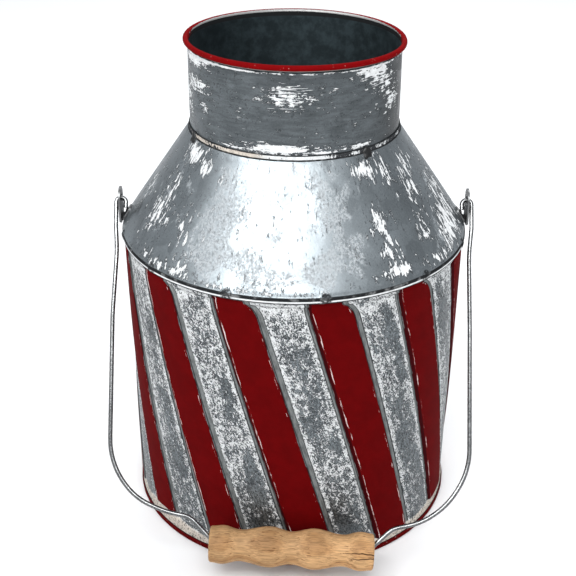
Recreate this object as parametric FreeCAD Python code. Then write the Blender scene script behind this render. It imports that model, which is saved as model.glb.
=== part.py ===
import FreeCAD
import Part

import math
import os

# Galvanised milk can with a wire bail and a turned wooden grip.
# Millimetres. +Z is up, the origin is the centre of the ring it stands on, and the
# bail rests against the front, which faces -Y. The ears stand at -X and +X.

# Driving dimensions
CAN_HEIGHT = 305.0
SHEET = 0.5                     # body, neck and base sheet
PLAY = 0.05                     # between pieces that touch
BODY_RADIUS_BOTTOM = 102.9      # outside of the sheet before it was pressed
BODY_RADIUS_TOP = 104.7
BODY_TOP = 187.4                # top edge of the body, inside the shoulder

# Slanting ribs pressed into the body
RIB_COUNT = 12
RIB_PITCH = 360.0 / RIB_COUNT   # degrees
RIB_CREST_HALF = 6.2            # degrees each side of a rib's middle
RIB_FOOT_HALF = 7.6             # degrees: where the rib's side wall ends
RIB_PROUD = 0.2                 # crest above the unpressed sheet
PANEL_SUNK = 0.8                # panels between the ribs below the unpressed sheet
RIB_SLANT = -0.157              # degrees of turn about Z per millimetre of height
RIB_FIRST = -5.8                # degrees from the front, at mid-slant height
RIB_MID_HEIGHT = 100.0
PRESSED_BOTTOM = 5.0
PRESSED_TOP = 182.5
PRESS_RUNOUT = 3.0              # height over which a rib rises from the plain sheet
PRESSED_SPANS = 6               # stretches of the pressed height, each a small turn

# Shoulder: cone with its lower edge turned down as a hemmed skirt
SEAM_RADIUS = 106.0
SEAM_HEIGHT = 188.0             # where the cone's outside meets the skirt
SKIRT_BOTTOM = 184.5
CONE_SHEET = 0.6
CONE_TOP_RADIUS = 62.9
CONE_TOP_HEIGHT = 251.2
NECK_FLANGE_TOP = 254.0

# Neck and mouth
NECK_RADIUS = 62.2              # outside of the neck tube
NECK_BOTTOM = 248.2
RIM_WIRE_RADIUS = 1.1
RIM_ROLL_RADIUS = RIM_WIRE_RADIUS + SHEET
ROLL_START = 180                # degrees round the wire, from straight out
ROLL_END = -100                 # past the underside
ROLL_MEETS_NECK = 204           # where the inside of the roll meets the neck's outside
FLARE_REACH = 1.9               # the neck's lower edge turned out under the cone
SOLDER_PLACES = (-66, 40, 165)  # degrees from the front, positive towards +X
SOLDER_SIZE = 1.9
SOLDER_TURN = 4.4               # degrees that one spot covers

# Base
BEAD_RADIUS = 103.9             # outside of the rolled bottom seam
BEAD_HEIGHT = 3.8
BEAD_ROUND = 0.9
PAN_HEIGHT = 3.4                # underside of the bottom disc
PAN_SHEET = 0.6
BODY_EDGE = 0.9                 # lower edge of the body inside the bead

# Ears
EAR_PLANE = 107.2               # middle of the upright plate, from the can's axis
EAR_SHEET = 1.1
EAR_HALF_WIDTH = 7.2
PIVOT_HEIGHT = 202.0
EAR_HOLE_RADIUS = 2.5
FOOT_HALF_WIDTH = 4.0           # also the rounding of the foot's end, about the rivet
RIVET_UP_CONE = 6.6
RIVET_RADIUS = 1.25
RIVET_HEAD_RADIUS = 2.1
RIVET_DOME = 1.0
RIVET_TAIL_RADIUS = 2.0
RIVET_TAIL = 0.7

# Bail and grip
WIRE_RADIUS = 1.35
HOOK_CENTRE = 106.7             # middle of the hook's half circle, from the can's axis
HOOK_BEND = 2.95
HOOK_TAIL = 6.2                 # end of the hook, below the pivot
HOOK_CLEAR = 17.5               # the arms run straight to here, to pass the ears
HOOK_EASE = 30.0                # bend radius there
# Corners of each arm below that, bent by hand and not quite alike, as
# (distance from the can's axis, distance below the pivot, bend radius)
RIGHT_ARM = (
    (107.9, 34.0, 100),
    (108.1, 80.0, 200),
    (107.3, 165.5, 45),
    (93.5, 187.5, 48),
    (77.0, 197.2, 38),
    (60.8, 200.5, 13),
)
LEFT_ARM = (
    (108.6, 32.0, 100),
    (110.5, 72.0, 200),
    (110.2, 163.0, 45),
    (94.0, 183.5, 38),
    (75.5, 191.5, 58),
    (61.5, 194.0, 13),
)
HUB_REACH = 45.5                # where the wire turns into the grip's bore
HUB_BEND = 4.0
GRIP_DROP = 212.2               # pivot axis to the middle of the grip
GRIP_FORWARD = 115.4            # how far in front of the can's axis the grip rests
GRIP_TILT = 2.5                 # degrees: the grip hangs lower at its right end
GRIP_LENGTH = 98.5
GRIP_TURNING = (                # (distance from the grip's middle, radius) of its bulges and waists
    (0.0, 9.7),
    (13.2, 12.1),
    (31.0, 9.35),
    (41.5, 11.65),
)
GRIP_END_RADIUS = 11.0
GRIP_BORE = 1.9
GRIP_MOUTH_RADIUS = 6.4
GRIP_MOUTH_DEPTH = 5.2
GRIP_EDGE = 1.5                 # rounding of the grip's ends

Z_AXIS = FreeCAD.Vector(0, 0, 1)
QUARTER_TURN = 90.0             # degrees
LEAN = math.degrees(math.asin(GRIP_FORWARD / GRIP_DROP))    # of the resting bail, from upright
CONE_RUN = SEAM_RADIUS - CONE_TOP_RADIUS
CONE_RISE = CONE_TOP_HEIGHT - SEAM_HEIGHT
CONE_SLOPE = math.hypot(CONE_RUN, CONE_RISE)
UP_CONE = (-CONE_RUN / CONE_SLOPE, CONE_RISE / CONE_SLOPE)  # (radius, height), unit length
OFF_CONE = (CONE_RISE / CONE_SLOPE, CONE_RUN / CONE_SLOPE)  # square to the cone, outwards


def at(x, y, z):
    return FreeCAD.Vector(x, y, z)


def on_profile(radius, height):
    """A point of a turned outline, in the plane y = 0."""
    return FreeCAD.Vector(radius, 0, height)


def on_cone(up, off):
    """Radius and height of a point `up` the cone from the seam and `off` its outer face."""
    return (
        SEAM_RADIUS + up * UP_CONE[0] + off * OFF_CONE[0],
        SEAM_HEIGHT + up * UP_CONE[1] + off * OFF_CONE[1],
    )


def lines(points):
    """Straight edges from each point to the next."""
    return [Part.LineSegment(a, b).toShape() for a, b in zip(points, points[1:])]


def arc(start, middle, end):
    return Part.Arc(start, middle, end).toShape()


def turned(edges):
    """The solid that a closed outline in the plane y = 0 sweeps round the Z axis."""
    face = Part.Face(Part.Wire(Part.__sortEdges__(edges)))
    return face.revolve(at(0, 0, 0), Z_AXIS, 360)


def polygon(points):
    return lines(points + points[:1])


def tube(outer, inner, bottom, top):
    height = top - bottom
    outside = Part.makeCylinder(outer, height, at(0, 0, bottom))
    return outside.cut(Part.makeCylinder(inner, height, at(0, 0, bottom)))


def single(shape):
    """The one solid of a shape, after joining faces that lie on one surface."""
    solids = shape.removeSplitter().Solids
    if len(solids) != 1:
        raise ValueError("expected one solid, found %d" % len(solids))
    return solids[0]


# Body

def body_radius(height):
    """Outside radius of the unpressed sheet."""
    rise = (height - PRESSED_BOTTOM) / (PRESSED_TOP - PRESSED_BOTTOM)
    rise = min(max(rise, 0.0), 1.0)
    return BODY_RADIUS_BOTTOM + rise * (BODY_RADIUS_TOP - BODY_RADIUS_BOTTOM)


def polar(radius, degrees, height):
    """A point at an angle from the front, positive towards +X."""
    turn = math.radians(degrees)
    return at(radius * math.sin(turn), -radius * math.cos(turn), height)


def pressed_outline(height, depth, inset):
    """Closed outline of the pressed sheet. depth is 0 where the sheet is plain and 1 where it is pressed."""
    base = body_radius(height) - inset
    crest = base + depth * RIB_PROUD
    panel = base - depth * PANEL_SUNK
    first = RIB_FIRST + RIB_SLANT * (height - RIB_MID_HEIGHT)
    edges = []
    for rib in range(RIB_COUNT):
        middle = first + rib * RIB_PITCH
        gap = middle + RIB_PITCH / 2
        crest_start = polar(crest, middle - RIB_CREST_HALF, height)
        crest_end = polar(crest, middle + RIB_CREST_HALF, height)
        panel_start = polar(panel, middle + RIB_FOOT_HALF, height)
        panel_end = polar(panel, middle + RIB_PITCH - RIB_FOOT_HALF, height)
        next_crest = polar(crest, middle + RIB_PITCH - RIB_CREST_HALF, height)
        edges.append(arc(crest_start, polar(crest, middle, height), crest_end))
        edges += lines([crest_end, panel_start])
        edges.append(arc(panel_start, polar(panel, gap, height), panel_end))
        edges += lines([panel_end, next_crest])
    return Part.Wire(edges)


def pressed_solid(inset):
    """Solid bounded by the pressed sheet's face that lies `inset` inside its outer one."""
    full_bottom = PRESSED_BOTTOM + PRESS_RUNOUT
    full_top = PRESSED_TOP - PRESS_RUNOUT
    step = (full_top - full_bottom) / PRESSED_SPANS
    outlines = [pressed_outline(PRESSED_BOTTOM, 0, inset)]
    for level in range(PRESSED_SPANS + 1):
        outlines.append(pressed_outline(full_bottom + level * step, 1, inset))
    outlines.append(pressed_outline(PRESSED_TOP, 0, inset))
    return Part.makeLoft(outlines, True, True)


def body_shell():
    pressed = pressed_solid(0).cut(pressed_solid(SHEET))
    top = tube(BODY_RADIUS_TOP, BODY_RADIUS_TOP - SHEET, PRESSED_TOP, BODY_TOP)
    bottom = tube(BODY_RADIUS_BOTTOM, BODY_RADIUS_BOTTOM - SHEET, BODY_EDGE, PRESSED_BOTTOM)
    return pressed.fuse([top, bottom]).Solids[0]


# Base

def base_pan():
    """Bottom disc, with its edge brought down and curled up round the body's lower edge."""
    slot_outer = BODY_RADIUS_BOTTOM
    slot_inner = BODY_RADIUS_BOTTOM - SHEET
    bead_inner = slot_inner - SHEET - BEAD_ROUND
    wall_outer = slot_inner
    disc_top = PAN_HEIGHT + PAN_SHEET
    outer_low = on_profile(BEAD_RADIUS - BEAD_ROUND, 0)
    outer_up = on_profile(BEAD_RADIUS, BEAD_ROUND)
    outer_mid = on_profile(
        BEAD_RADIUS - BEAD_ROUND * (1 - math.sqrt(0.5)), BEAD_ROUND * (1 - math.sqrt(0.5))
    )
    edges = [arc(outer_low, outer_mid, outer_up)]
    edges += lines([
        outer_up,
        on_profile(BEAD_RADIUS, BEAD_HEIGHT - SHEET),
        on_profile(BEAD_RADIUS - SHEET, BEAD_HEIGHT),
        on_profile(slot_outer, BEAD_HEIGHT),
        on_profile(slot_outer, BODY_EDGE),
        on_profile(slot_inner, BODY_EDGE),
        on_profile(wall_outer, disc_top),
        on_profile(0, disc_top),
        on_profile(0, PAN_HEIGHT),
        on_profile(bead_inner, PAN_HEIGHT),
        on_profile(bead_inner, BEAD_ROUND),
        on_profile(bead_inner + BEAD_ROUND, 0),
        outer_low,
    ])
    return turned(edges)


# Shoulder

def shoulder_cone():
    """Cone with a hemmed skirt at its foot and a short upright flange round the neck."""
    skirt_inner = BODY_RADIUS_TOP
    inner_foot = on_cone(0, -CONE_SHEET)
    slope = UP_CONE[1] / UP_CONE[0]
    under_skirt = (skirt_inner, inner_foot[1] + (skirt_inner - inner_foot[0]) * slope)
    flange_inner = CONE_TOP_RADIUS - CONE_SHEET
    under_flange = (flange_inner, inner_foot[1] + (flange_inner - inner_foot[0]) * slope)
    return turned(polygon([
        on_profile(SEAM_RADIUS, SKIRT_BOTTOM),
        on_profile(SEAM_RADIUS, SEAM_HEIGHT),
        on_profile(CONE_TOP_RADIUS, CONE_TOP_HEIGHT),
        on_profile(CONE_TOP_RADIUS, NECK_FLANGE_TOP),
        on_profile(flange_inner, NECK_FLANGE_TOP),
        on_profile(*under_flange),
        on_profile(*under_skirt),
        on_profile(skirt_inner, SKIRT_BOTTOM),
    ]))


# Neck

def rim_centre():
    """Radius and height of the middle of the rolled mouth edge."""
    return NECK_RADIUS - SHEET + RIM_ROLL_RADIUS, CAN_HEIGHT - RIM_ROLL_RADIUS


def rim_point(radius, degrees):
    centre_radius, centre_height = rim_centre()
    turn = math.radians(degrees)
    return on_profile(centre_radius + radius * math.cos(turn), centre_height + radius * math.sin(turn))


def neck_collar():
    """Neck tube, its top rolled out over the wire and its foot turned out under the cone."""
    inside = NECK_RADIUS - SHEET
    roll_middle = (ROLL_START + ROLL_END) / 2
    inner_turn = rim_point(RIM_WIRE_RADIUS, ROLL_MEETS_NECK)
    edges = [
        arc(
            rim_point(RIM_ROLL_RADIUS, ROLL_START),
            rim_point(RIM_ROLL_RADIUS, roll_middle),
            rim_point(RIM_ROLL_RADIUS, ROLL_END),
        ),
        arc(
            rim_point(RIM_WIRE_RADIUS, ROLL_END),
            rim_point(RIM_WIRE_RADIUS, roll_middle),
            inner_turn,
        ),
    ]
    edges += lines([rim_point(RIM_ROLL_RADIUS, ROLL_END), rim_point(RIM_WIRE_RADIUS, ROLL_END)])
    edges += lines([
        inner_turn,
        on_profile(NECK_RADIUS, inner_turn.z - 2 * SHEET),
        on_profile(NECK_RADIUS, NECK_BOTTOM + SHEET),
        on_profile(NECK_RADIUS + FLARE_REACH - SHEET, NECK_BOTTOM + SHEET),
        on_profile(NECK_RADIUS + FLARE_REACH - SHEET, NECK_BOTTOM),
        on_profile(inside, NECK_BOTTOM),
        rim_point(RIM_ROLL_RADIUS, ROLL_START),
    ])
    return turned(edges)


def rim_wire():
    centre_radius, centre_height = rim_centre()
    return Part.makeTorus(centre_radius, RIM_WIRE_RADIUS - PLAY, at(0, 0, centre_height))


def neck_solder():
    """Three spots of solder in the corner between the flange and the neck."""
    top = on_profile(NECK_RADIUS, NECK_FLANGE_TOP + SOLDER_SIZE)
    low = on_profile(CONE_TOP_RADIUS + SOLDER_SIZE / 2, NECK_FLANGE_TOP - SOLDER_SIZE)
    bulge = on_profile(CONE_TOP_RADIUS + SOLDER_SIZE / 2, NECK_FLANGE_TOP + SOLDER_SIZE / 2)
    edges = [arc(top, bulge, low)]
    edges += lines([
        low,
        on_profile(CONE_TOP_RADIUS, NECK_FLANGE_TOP - SOLDER_SIZE),
        on_profile(CONE_TOP_RADIUS, NECK_FLANGE_TOP),
        on_profile(NECK_RADIUS, NECK_FLANGE_TOP),
        top,
    ])
    face = Part.Face(Part.Wire(Part.__sortEdges__(edges)))
    spots = []
    for degrees in SOLDER_PLACES:
        spot = face.revolve(at(0, 0, 0), Z_AXIS, SOLDER_TURN)
        spot.rotate(at(0, 0, 0), Z_AXIS, degrees - QUARTER_TURN - SOLDER_TURN / 2)
        spots.append(spot)
    return Part.makeCompound(spots)


# Ears

def ear_outline():
    """Right ear seen from the front: foot up the cone, one bend at the seam, upright plate."""
    middle = PLAY + EAR_SHEET / 2
    half = EAR_SHEET / 2
    bend = half + PLAY
    start = on_cone(0, middle)
    reach = (EAR_PLANE - start[0]) / UP_CONE[0]
    apex = (EAR_PLANE, start[1] + reach * UP_CONE[1])
    between = math.atan2(-UP_CONE[0], UP_CONE[1])
    from_apex = bend / math.tan(between / 2)
    centre = (EAR_PLANE - bend, apex[1] + from_apex)

    def round_centre(radius, degrees):
        turn = math.radians(degrees)
        return on_profile(centre[0] + radius * math.cos(turn), centre[1] + radius * math.sin(turn))

    foot_angle = -180 + math.degrees(between)
    mid_angle = foot_angle / 2
    foot_length = RIVET_UP_CONE + FOOT_HALF_WIDTH
    tip_outer = on_profile(*on_cone(foot_length, PLAY))
    tip_inner = on_profile(*on_cone(foot_length, PLAY + EAR_SHEET))
    outer, inner = bend + half, bend - half
    top = PIVOT_HEIGHT + EAR_HALF_WIDTH
    edges = [
        arc(round_centre(outer, foot_angle), round_centre(outer, mid_angle), round_centre(outer, 0)),
        arc(round_centre(inner, foot_angle), round_centre(inner, mid_angle), round_centre(inner, 0)),
    ]
    edges += lines([round_centre(outer, foot_angle), tip_outer, tip_inner, round_centre(inner, foot_angle)])
    edges += lines([
        round_centre(outer, 0),
        on_profile(EAR_PLANE + half, top),
        on_profile(EAR_PLANE - half, top),
        round_centre(inner, 0),
    ])
    return Part.Wire(Part.__sortEdges__(edges))


def ear_front_shape():
    """Solid that trims an ear as it is seen from the side: straight edges and a round top."""
    reach = 2 * SEAM_RADIUS
    disc = Part.makeCylinder(EAR_HALF_WIDTH, reach, at(0, 0, PIVOT_HEIGHT), at(1, 0, 0))
    below = Part.makeBox(
        reach, 2 * EAR_HALF_WIDTH, PIVOT_HEIGHT, at(0, -EAR_HALF_WIDTH, 0)
    )
    return disc.fuse(below)


def rivet_rod(radius, low, high):
    """Cylinder through the right ear's foot, square to the cone, from `low` to `high` off it."""
    radius_low, height_low = on_cone(RIVET_UP_CONE, low)
    return Part.makeCylinder(
        radius, high - low, at(radius_low, 0, height_low), at(OFF_CONE[0], 0, OFF_CONE[1])
    )


def foot_waste():
    """Block round the right ear's foot, open only where the foot is as wide as its rounded end."""
    reach = EAR_PLANE - EAR_SHEET
    rivet_reach = on_cone(RIVET_UP_CONE, 0)[0]
    block = Part.makeBox(reach, 2 * SEAM_RADIUS, CAN_HEIGHT, at(0, -SEAM_RADIUS, 0))
    strip = Part.makeBox(
        reach, 2 * FOOT_HALF_WIDTH, CAN_HEIGHT, at(rivet_reach, -FOOT_HALF_WIDTH, 0)
    )
    return block.cut(strip)


def ear():
    """Right ear."""
    blank = Part.Face(ear_outline()).extrude(at(0, 2 * EAR_HALF_WIDTH, 0))
    blank.translate(at(0, -EAR_HALF_WIDTH, 0))
    plate = blank.common(ear_front_shape())
    beyond = foot_waste().cut(rivet_rod(FOOT_HALF_WIDTH, -EAR_SHEET, 2 * EAR_SHEET))
    plate = plate.cut(beyond)
    pivot = Part.makeCylinder(
        EAR_HOLE_RADIUS, 2 * EAR_SHEET, at(EAR_PLANE - EAR_SHEET, 0, PIVOT_HEIGHT), at(1, 0, 0)
    )
    plate = plate.cut(pivot)
    return plate.cut(rivet_rod(RIVET_RADIUS + PLAY, -CONE_SHEET, 2 * EAR_SHEET))


def ear_rivet():
    """Right rivet: domed head on the foot, shank through both sheets, flat tail under the cone."""
    head_base = PLAY + EAR_SHEET
    tail_top = -CONE_SHEET - PLAY
    shank = rivet_rod(RIVET_RADIUS, tail_top, head_base)
    tail = rivet_rod(RIVET_TAIL_RADIUS, tail_top - RIVET_TAIL, tail_top)
    ball_radius = (RIVET_HEAD_RADIUS ** 2 + RIVET_DOME ** 2) / (2 * RIVET_DOME)
    ball_at = on_cone(RIVET_UP_CONE, head_base + RIVET_DOME - ball_radius)
    ball = Part.makeSphere(ball_radius, at(ball_at[0], 0, ball_at[1]))
    dome = ball.common(rivet_rod(2 * ball_radius, head_base, head_base + 2 * RIVET_DOME))
    return single(shank.fuse([tail, dome]))


def with_rivet_holes(cone):
    hole = rivet_rod(RIVET_RADIUS + PLAY, -2 * CONE_SHEET, CONE_SHEET)
    return cone.cut([hole, on_left(hole)])


def on_left(shape):
    return shape.mirror(at(0, 0, 0), at(1, 0, 0))


# Bail

def hub_drop(side):
    """How far below the pivot the wire meets the grip's axis, on the right (1) or the left (-1)."""
    return GRIP_DROP + side * HUB_REACH * math.tan(math.radians(GRIP_TILT))


def arm_corners(arm, side):
    """Corners of one half of the wire from the hook's end to the hub, as in RIGHT_ARM."""
    inner = HOOK_CENTRE - HOOK_BEND
    outer = HOOK_CENTRE + HOOK_BEND
    hook = [
        (inner, HOOK_TAIL, 0),
        (inner, 0, HOOK_BEND),
        (outer, 0, HOOK_BEND),
        (outer, HOOK_CLEAR, HOOK_EASE),
    ]
    return hook + list(arm) + [(HUB_REACH, hub_drop(side), HUB_BEND)]


def rounded_path(corners):
    """Wire through the corners: straight runs joined by arcs that touch both runs."""
    spots = [at(x, 0, -down) for x, down, _ in corners]
    edges = []
    pen = spots[0]
    for index in range(1, len(corners) - 1):
        corner, radius = spots[index], corners[index][2]
        back = (spots[index - 1] - corner).normalize()
        ahead = (spots[index + 1] - corner).normalize()
        half_angle = back.getAngle(ahead) / 2
        setback = radius / math.tan(half_angle)
        towards = (back + ahead).normalize()
        middle = corner + towards * (radius / math.sin(half_angle) - radius)
        start, end = corner + back * setback, corner + ahead * setback
        if (start - pen).Length > 1e-6:
            edges += lines([pen, start])
        edges.append(arc(start, middle, end))
        pen = end
    edges += lines([pen, spots[-1]])
    return Part.Wire(edges)


def bail_wire():
    right = arm_corners(RIGHT_ARM, 1)
    left = [(-x, down, bend) for x, down, bend in arm_corners(LEFT_ARM, -1)]
    path = rounded_path(right + left[::-1])
    start = on_profile(HOOK_CENTRE - HOOK_BEND, -HOOK_TAIL)
    section = Part.Wire(Part.makeCircle(WIRE_RADIUS, start, Z_AXIS))
    wire = path.makePipeShell([section], True, True)
    return to_rest(wire)


def to_rest(shape):
    """Lean a shape drawn hanging from the pivot at the origin to where the bail rests."""
    shape.rotate(at(0, 0, 0), at(1, 0, 0), -LEAN)
    shape.translate(at(0, 0, PIVOT_HEIGHT))
    return shape


def grip():
    """Turned grip: four bulges, three waists and rounded ends, bored for the wire."""
    end = GRIP_LENGTH / 2
    half = list(GRIP_TURNING) + [(end - GRIP_EDGE, GRIP_END_RADIUS)]
    outline = [(-x, radius) for x, radius in half[:0:-1]] + half
    curve = Part.BSplineCurve()
    curve.interpolate([on_profile(radius, x) for x, radius in outline])
    edge_radius = GRIP_END_RADIUS
    face_radius = edge_radius - GRIP_EDGE
    rounding = GRIP_EDGE * (1 - math.sqrt(0.5))
    edges = [curve.toShape()]
    for side in (-1, 1):
        edges.append(arc(
            on_profile(edge_radius, side * (end - GRIP_EDGE)),
            on_profile(edge_radius - rounding, side * (end - rounding)),
            on_profile(face_radius, side * end),
        ))
        edges += lines([
            on_profile(face_radius, side * end),
            on_profile(GRIP_MOUTH_RADIUS, side * end),
            on_profile(GRIP_BORE, side * (end - GRIP_MOUTH_DEPTH)),
        ])
    edges += lines([
        on_profile(GRIP_BORE, end - GRIP_MOUTH_DEPTH),
        on_profile(GRIP_BORE, GRIP_MOUTH_DEPTH - end),
    ])
    body = turned(edges)
    body.rotate(at(0, 0, 0), at(0, 1, 0), QUARTER_TURN + GRIP_TILT)
    body.translate(at(0, 0, -GRIP_DROP))
    return to_rest(body)


def main():
    nodes = {
        "body_shell": body_shell(),
        "base_pan": base_pan(),
        "shoulder_cone": with_rivet_holes(shoulder_cone()),
        "neck_collar": neck_collar(),
        "rim_wire": rim_wire(),
        "neck_solder": neck_solder(),
        "ear_right": ear(),
        "ear_left": on_left(ear()),
        "ear_rivet_right": ear_rivet(),
        "ear_rivet_left": on_left(ear_rivet()),
        "bail_wire": bail_wire(),
        "grip": grip(),
    }
    os.makedirs("parts", exist_ok=True)
    for name, shape in nodes.items():
        if not shape.isValid():
            raise ValueError(name + " is not a valid solid")
        shape.exportStep("parts/" + name + ".step")


main()
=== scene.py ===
import math

import bmesh
import bpy
import numpy as np
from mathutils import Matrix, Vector


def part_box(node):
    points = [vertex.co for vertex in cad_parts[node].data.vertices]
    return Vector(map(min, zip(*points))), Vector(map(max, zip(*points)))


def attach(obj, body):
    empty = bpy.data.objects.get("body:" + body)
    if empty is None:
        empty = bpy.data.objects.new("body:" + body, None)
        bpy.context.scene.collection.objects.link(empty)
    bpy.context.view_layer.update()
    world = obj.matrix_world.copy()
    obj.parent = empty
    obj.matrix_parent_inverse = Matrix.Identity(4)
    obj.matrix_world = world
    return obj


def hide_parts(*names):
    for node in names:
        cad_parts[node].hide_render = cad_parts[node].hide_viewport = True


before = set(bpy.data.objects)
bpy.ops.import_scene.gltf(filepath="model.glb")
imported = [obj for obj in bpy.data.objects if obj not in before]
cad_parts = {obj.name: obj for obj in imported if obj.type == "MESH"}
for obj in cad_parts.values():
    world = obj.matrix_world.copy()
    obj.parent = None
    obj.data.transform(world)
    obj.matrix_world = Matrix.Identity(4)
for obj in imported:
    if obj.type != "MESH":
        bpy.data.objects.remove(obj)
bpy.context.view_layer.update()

MM = 0.001


def top_of(node):
    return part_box(node)[1].z / MM


def reach_of(node):
    """Largest X of a node, which is the outside radius of a turned one."""
    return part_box(node)[1].x / MM


# Sizes in millimetres, heights above the floor. Angles are in degrees from the front, positive towards +X.
SHEET = 0.5
SEAM_RADIUS = reach_of("shoulder_cone")
SKIRT_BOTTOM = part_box("shoulder_cone")[0].z / MM
SEAM_HEIGHT = SKIRT_BOTTOM + 3.5
CONE_TOP_RADIUS = 62.9
CONE_TOP_HEIGHT = 251.2
FLANGE_TOP = top_of("shoulder_cone")
NECK_RADIUS = 62.2
NECK_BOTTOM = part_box("neck_collar")[0].z / MM
CAN_HEIGHT = top_of("neck_collar")
RIM_ROLL = 1.55
BODY_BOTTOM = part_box("body_shell")[0].z / MM
BODY_TOP = top_of("body_shell")
BODY_RADIUS_BOTTOM = 102.9
BODY_RADIUS_TOP = 104.7
BEAD_RADIUS = reach_of("base_pan")
BEAD_HEIGHT = 3.8
PAN_HEIGHT = 3.4
PAN_SHEET = 0.6

RIB_COUNT = 12
RIB_PITCH = 360 / RIB_COUNT
RIB_SLANT = -0.157              # degrees of turn per millimetre of height
RIB_FIRST = -5.8                # at RIB_MID_HEIGHT
RIB_MID_HEIGHT = 100.0
PRESSED_BOTTOM = 5.0
PRESSED_TOP = 182.5
CREST_HALF = 6.2                # degrees each side of a rib's middle
WALL_END = 7.4
GROOVE_END = 8.25
PANEL_START = 8.6
CREST_HEIGHT = 0.2              # millimetres from the unpressed sheet
GROOVE_HEIGHT = -1.35
PANEL_HEIGHT = -0.8


# Small numeric helpers

def smooth(value, low, high):
    """0 below low, 1 above high, an S curve between. low may be the larger."""
    t = np.clip((value - low) / (high - low), 0, 1)
    return t * t * (3 - 2 * t)


def bump(value, middle, half):
    """1 at the middle, falling smoothly to nearly 0 about two halves away."""
    return np.exp(-((value - middle) / half) ** 2)


def wrap(degrees):
    """The same angle between -180 and 180."""
    return (degrees + 180) % 360 - 180


def waviness(degrees, height, seed, size):
    """Slow dents in hand-rolled sheet, in millimetres, the same all the way round."""
    random = np.random.default_rng(seed)
    total = 0
    for turns in (2, 3, 5, 7):
        phase, climb, tall = random.uniform(0, 2 * math.pi, 3)
        wave = np.sin(np.radians(degrees) * turns + phase + climb * height / 90)
        total = total + wave * np.cos(height / (28 + 6 * turns) + tall) / turns
    return total * size


# Mesh helpers

def add_piece(name, points, faces, body, stands_for, values):
    """A smooth mesh piece from points in millimetres, riding on a body in place of CAD nodes.

    values holds the attributes that its material reads, each with one number per point.
    """
    mesh = bpy.data.meshes.new(name)
    mesh.from_pydata((np.asarray(points, float) * MM).tolist(), [], faces)
    for key, numbers in values.items():
        attribute = mesh.attributes.new(key, "FLOAT", "POINT")
        attribute.data.foreach_set("value", np.asarray(numbers, np.float32).ravel())
    piece = bpy.data.objects.new(name, mesh)
    bpy.context.scene.collection.objects.link(piece)
    tidy = bmesh.new()
    tidy.from_mesh(mesh)
    bmesh.ops.remove_doubles(tidy, verts=tidy.verts, dist=1e-6)
    bmesh.ops.recalc_face_normals(tidy, faces=tidy.faces)
    tidy.to_mesh(mesh)
    tidy.free()
    mesh.shade_smooth()
    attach(piece, body)
    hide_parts(*stands_for)
    return piece


def loop_faces(rows, columns, close_rows):
    """Quads of a grid whose columns go all the way round, and whose rows do too if close_rows."""
    faces = []
    for row in range(rows if close_rows else rows - 1):
        below, above = row * columns, (row + 1) % rows * columns
        for column in range(columns):
            after = (column + 1) % columns
            faces.append((below + column, below + after, above + after, above + column))
    return faces


def round_points(radius, degrees, height):
    """Points of a grid from its radii, angles and heights."""
    turn = np.radians(degrees)
    radius, turn, height = np.broadcast_arrays(radius, turn, height)
    return np.stack([radius * np.sin(turn), -radius * np.cos(turn), height], -1).reshape(-1, 3)


def arc_points(centre, radius, start, end, count):
    """(radius, height) points along a circle, from one angle to another in degrees."""
    turns = np.radians(np.linspace(start, end, count))
    return [(centre[0] + radius * math.cos(t), centre[1] + radius * math.sin(t)) for t in turns]


def straight(start, end, count):
    """Points from start up to but not including end."""
    return [tuple(np.add(start, np.subtract(end, start) * i / count)) for i in range(count)]


def lathe(name, outline, columns, shift, body, stands_for):
    """Turns a closed (radius, height) outline round Z.

    shift gives small changes to radius and height. The attribute "level" keeps the height
    without them, and "lift" the change in height.
    """
    outline = np.array(outline)
    degrees = np.linspace(-180, 180, columns, endpoint=False)[None, :]
    radius, height = outline[:, :1], outline[:, 1:]
    out, up = shift(radius, degrees, height)
    points = round_points(radius + out, degrees, height + up)
    faces = loop_faces(len(outline), columns, True)
    whole = np.zeros((len(outline), columns))
    values = {"level": height + whole, "lift": up + whole}
    return add_piece(name, points, faces, body, stands_for, values)


# Body

def body_radius(height):
    rise = np.clip((height - PRESSED_BOTTOM) / (PRESSED_TOP - PRESSED_BOTTOM), 0, 1)
    return BODY_RADIUS_BOTTOM + rise * (BODY_RADIUS_TOP - BODY_RADIUS_BOTTOM)


def crest_half(across, height):
    """Half width of a rib's crest in degrees: its upper right corner is rounded off."""
    corner = np.clip((height - (PRESSED_TOP - 9)) / 9, 0, 1)
    cut = 3.2 * (1 - np.sqrt(1 - 0.98 * corner ** 2))
    return CREST_HALF - np.where(across > 0, cut, 0.25 * cut)


# How much higher than PRESSED_BOTTOM the pressing starts under each rib
RIB_FEET = (0.8, 0.3, 1.6, 0.5, 1.8, 0.2, 1.1, 0.6, 1.4, 0.4, 5.2, 1.0)


def above_foot(degrees, height):
    """Height less how much higher the pressing starts here, since the ribs' feet are uneven."""
    first = RIB_FIRST + RIB_SLANT * (PRESSED_BOTTOM - RIB_MID_HEIGHT)
    lift = 0
    for index, foot in enumerate(RIB_FEET):
        lift = lift + foot * bump(wrap(degrees - first - index * RIB_PITCH), 0, 13)
    return height - lift


def relief(across, height, low_height):
    """How far the pressed sheet stands out of the plain one, `across` degrees from a rib's middle."""
    side = np.abs(across)
    half = crest_half(across, height)
    shape = CREST_HEIGHT + 0.12 * np.clip(1 - (side / half) ** 2, 0, 1)
    shape = shape + (GROOVE_HEIGHT - CREST_HEIGHT) * smooth(side, half, half + WALL_END - CREST_HALF)
    shape = shape + (PANEL_HEIGHT - GROOVE_HEIGHT) * smooth(side, GROOVE_END, PANEL_START)
    shape = shape + 0.18 * smooth(side, PANEL_START, RIB_PITCH / 2)
    ends = smooth(low_height, PRESSED_BOTTOM + 0.6, PRESSED_BOTTOM + 3.0)
    return shape * ends * smooth(height, PRESSED_TOP, PRESSED_TOP - 1.4)


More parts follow.
